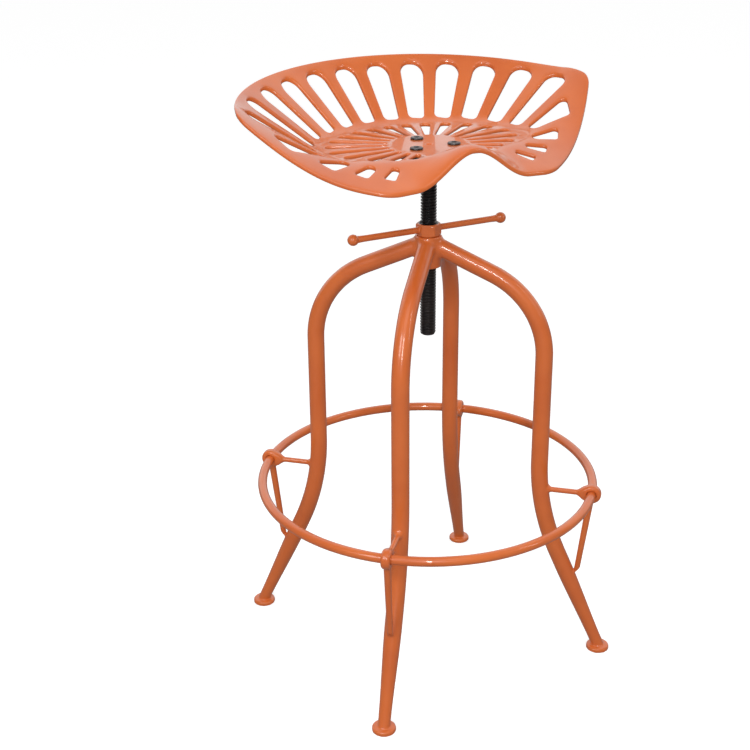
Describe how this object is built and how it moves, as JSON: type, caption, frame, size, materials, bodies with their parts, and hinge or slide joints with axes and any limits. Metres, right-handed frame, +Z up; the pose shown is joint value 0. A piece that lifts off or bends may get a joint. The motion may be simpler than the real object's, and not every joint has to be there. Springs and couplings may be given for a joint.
{
  "type": "tractor seat stool",
  "caption": "Height-adjustable stool: slotted cast tractor seat on a lifting screw with a T-handle lock nut, bent tube legs with disc feet and a round footrest ring on cast brackets.",
  "frame": {"origin": "on the floor under the lifting screw, at the middle of the feet", "axes": "+Z up along the screw, -Y towards the front of the seat, X across the seat"},
  "size_m": [0.479, 0.452, 0.7621],
  "materials": {
    "orange_coat": "glossy orange powder coat",
    "black_screw": "black oxide, lightly oiled",
    "bolt_steel": "dark zinc plated steel"
  },
  "bodies": {
    "base": {"hub_sleeve": "orange_coat", "footrest_ring": "orange_coat", "leg_1": "orange_coat", "leg_2": "orange_coat", "leg_3": "orange_coat", "leg_4": "orange_coat", "foot_1": "orange_coat", "foot_2": "orange_coat", "foot_3": "orange_coat", "foot_4": "orange_coat", "footrest_bracket_1": "orange_coat", "footrest_bracket_2": "orange_coat", "footrest_bracket_3": "orange_coat", "footrest_bracket_4": "orange_coat"},
    "lock": {"lock_nut": "orange_coat", "lock_handle_1": "orange_coat", "lock_handle_2": "orange_coat"},
    "lift": {"lift_screw": "black_screw"},
    "seat": {"mounting_plate": "black_screw", "seat_bolts": "bolt_steel", "seat_nuts": "bolt_steel", "seat_pan": "orange_coat"}
  },
  "joints": [
    {"name": "lock_nut_turn", "type": "hinge", "parent": "base", "child": "lock", "pos_m": [0, 0, 0.5803], "axis": [0, 0, 1], "range_deg": [0, 360]},
    {"name": "screw_lift", "type": "slide", "parent": "base", "child": "lift", "axis": [0, 0, 1], "range_m": [-0.075, 0.08]},
    {"name": "seat_turn", "type": "hinge", "parent": "lift", "child": "seat", "pos_m": [0, 0, 0.6765], "axis": [0, 0, 1], "range_deg": [-7105, 7578]}
  ],
  "couplings": [
    {"joint": "screw_lift", "follows": "seat_turn", "m_per_rad": 0.00060479}
  ]
}
